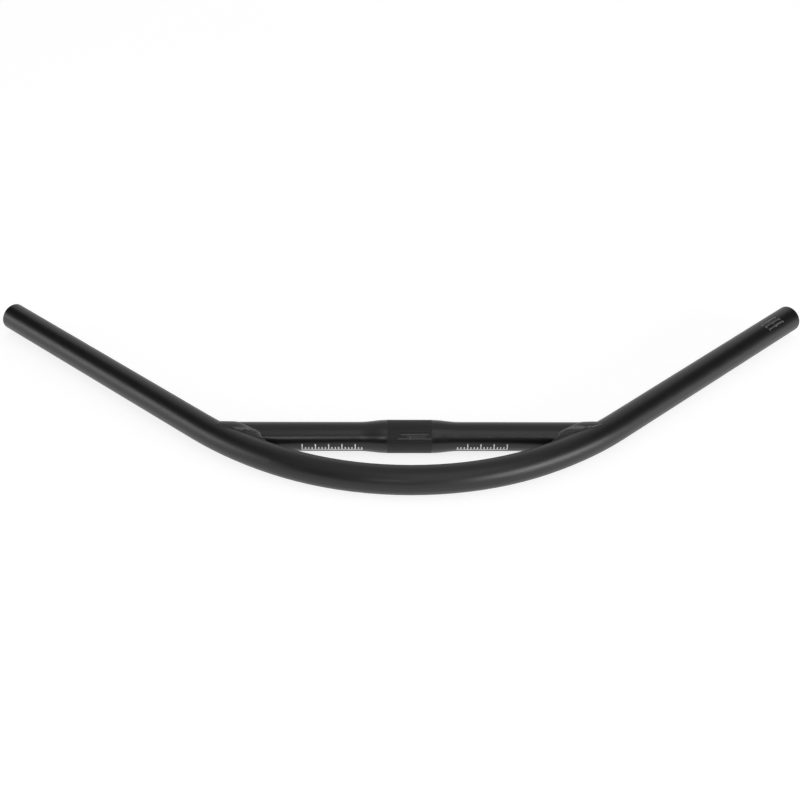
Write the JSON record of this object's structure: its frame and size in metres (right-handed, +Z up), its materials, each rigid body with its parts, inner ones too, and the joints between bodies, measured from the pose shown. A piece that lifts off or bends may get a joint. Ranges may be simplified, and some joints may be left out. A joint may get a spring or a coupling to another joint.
{
  "type": "bicycle handlebar",
  "caption": "Loop handlebar for a bicycle: a wide swept bow tube with open ends and a straight cross tube welded between its shoulders, bulged and knurled where the stem clamps it.",
  "frame": {"origin": "centre of the stem clamp zone, on the cross tube's axis", "axes": "+X along the cross tube, -Y towards the front of the bow, +Y towards the open grip ends, +Z up; all tube axes lie in the plane Z = 0"},
  "size_m": [0.6796, 0.2627, 0.0254],
  "materials": {
    "bow": "satin black anodised",
    "cross": "satin black anodised",
    "weld": "black anodised weld bead"
  },
  "bodies": {
    "root": {"bow_tube": "bow", "cross_tube": "cross", "weld_left": "weld", "weld_right": "weld"}
  },
  "joints": []
}
